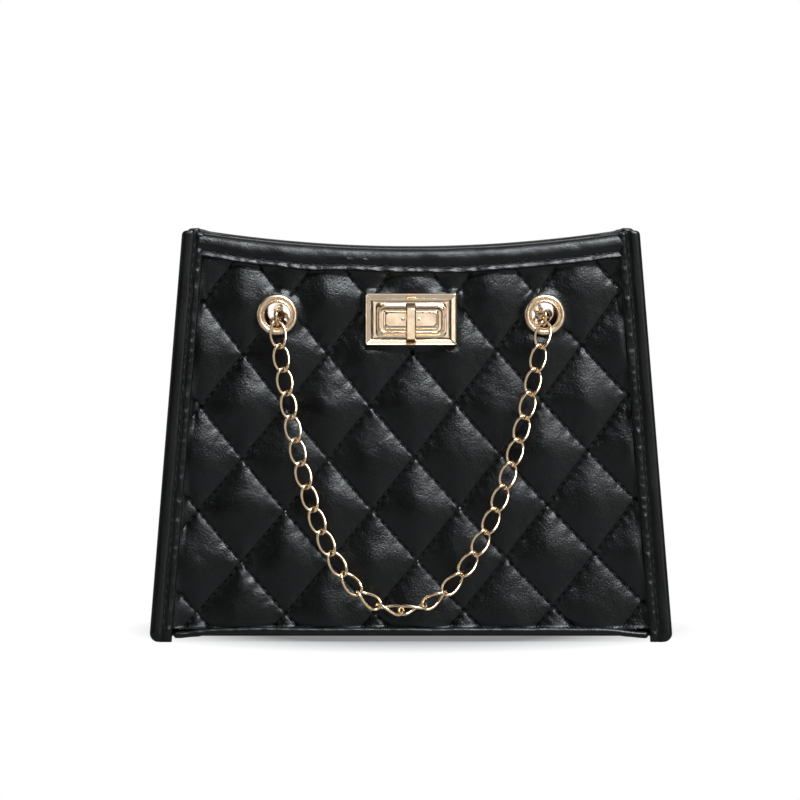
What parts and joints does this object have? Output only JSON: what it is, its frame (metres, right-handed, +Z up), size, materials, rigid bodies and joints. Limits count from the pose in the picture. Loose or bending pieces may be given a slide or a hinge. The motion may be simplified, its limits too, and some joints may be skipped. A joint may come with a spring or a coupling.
{
  "type": "crossbody purse",
  "caption": "Small quilted shoulder bag with leaning sides, an open top closed by a turn-lock tab, and a chain strap threaded through four eyelets.",
  "frame": {"origin": "middle of the footprint, on the surface the bag stands on", "axes": "+X to the bag's right seen from the front, +Y to the back, +Z up; the lock is on the -Y side"},
  "size_m": [0.2354, 0.0952, 0.1846],
  "materials": {
    "black_leather": "glossy, smooth",
    "trim_leather": "glossy, smooth",
    "lining_cloth": "matte, fine weave",
    "wadding": "soft, unseen",
    "stiff_board": "unseen",
    "pale_gold": "polished, plated",
    "chain_gold": "polished, plated"
  },
  "bodies": {
    "bag": {"back_left_binding": "trim_leather", "back_left_eyelet": "pale_gold", "back_left_eyelet_washer": "pale_gold", "back_lining": "lining_cloth", "back_piping": "trim_leather", "back_quilted_skin": "black_leather", "back_right_binding": "trim_leather", "back_right_eyelet": "pale_gold", "back_right_eyelet_washer": "pale_gold", "back_rim_hem": "black_leather", "back_rim_stiffener": "stiff_board", "back_wadding": "wadding", "base_board": "stiff_board", "base_leather": "black_leather", "base_lining": "lining_cloth", "closure_tab": "black_leather", "front_left_binding": "trim_leather", "front_left_eyelet": "pale_gold", "front_left_eyelet_washer": "pale_gold", "front_lining": "lining_cloth", "front_piping": "trim_leather", "front_quilted_skin": "black_leather", "front_right_binding": "trim_leather", "front_right_eyelet": "pale_gold", "front_right_eyelet_washer": "pale_gold", "front_rim_hem": "black_leather", "front_rim_stiffener": "stiff_board", "front_wadding": "wadding", "left_gusset": "black_leather", "left_gusset_facing": "black_leather", "left_gusset_lining": "lining_cloth", "left_inner_chain": "chain_gold", "left_piping": "trim_leather", "lock_boss": "pale_gold", "lock_frame": "pale_gold", "lock_frame_backplate": "pale_gold", "lock_rivets": "pale_gold", "lock_spring_washer": "pale_gold", "lock_tab_plate": "pale_gold", "right_gusset": "black_leather", "right_gusset_facing": "black_leather", "right_gusset_lining": "lining_cloth", "right_inner_chain": "chain_gold", "right_piping": "trim_leather"},
    "toggle": {"lock_toggle": "pale_gold", "lock_toggle_retainer": "pale_gold"},
    "front_strap": {"front_chain": "chain_gold"},
    "back_strap": {"back_chain": "chain_gold"}
  },
  "joints": [
    {"name": "lock_toggle_turn", "type": "hinge", "parent": "bag", "child": "toggle", "pos_m": [0, -0.02705, 0.14459], "axis": [0, -0.9939, 0.1104], "range_deg": [0, 90]},
    {"name": "front_strap_swing", "type": "hinge", "parent": "bag", "child": "front_strap", "pos_m": [0, -0.02923, 0.14585], "axis": [-1, 0, 0], "range_deg": [0, 180]},
    {"name": "back_strap_swing", "type": "hinge", "parent": "bag", "child": "back_strap", "pos_m": [0, 0.02923, 0.14585], "axis": [1, 0, 0], "range_deg": [0, 180]}
  ]
}
